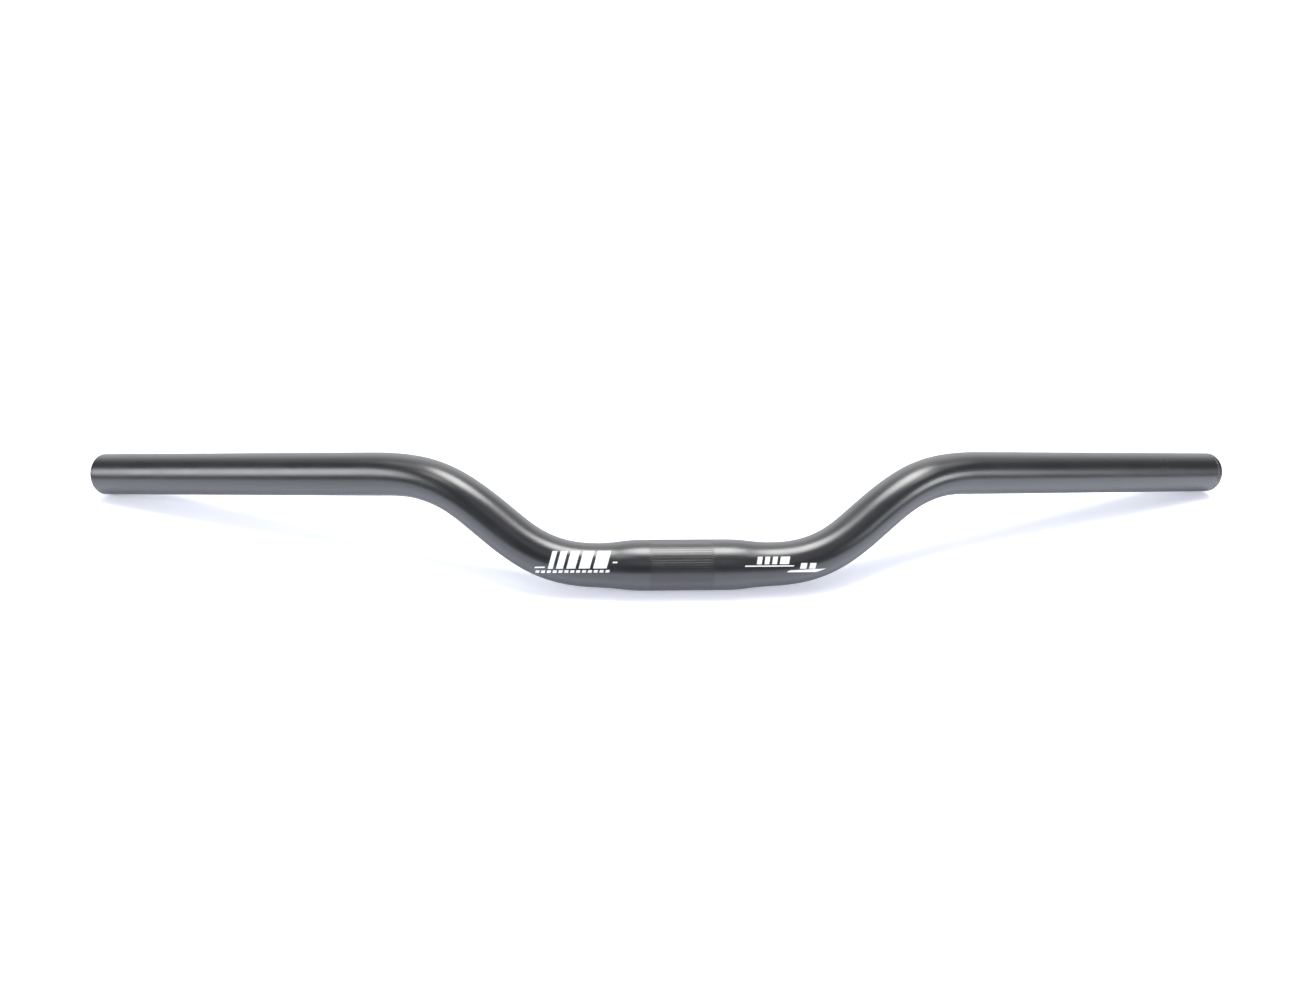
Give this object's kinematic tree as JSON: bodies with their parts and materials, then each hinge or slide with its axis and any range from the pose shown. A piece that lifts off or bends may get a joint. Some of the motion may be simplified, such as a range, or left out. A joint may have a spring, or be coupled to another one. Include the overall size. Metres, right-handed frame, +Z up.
{
  "type": "bicycle handlebar",
  "caption": "Bent tube handlebar for a bicycle: swollen middle with fine knurling for the stem clamp, a rise on each side, and straight swept-back ends that take grips.",
  "frame": {"origin": "middle of the stem's clamping place, on the tube's axis; the plane that the bar lies on is z = -12.7 mm", "axes": "+X along the clamp axis to the picture's right, +Y from the clamp away from the camera toward the rises and the ends, +Z up, with the bar lying at rest on the underside of its middle and on its end edges"},
  "size_m": [0.6324, 0.1155, 0.0544],
  "materials": {
    "bar": "satin black anodised"
  },
  "bodies": {
    "root": {"handlebar": "bar"}
  },
  "joints": []
}
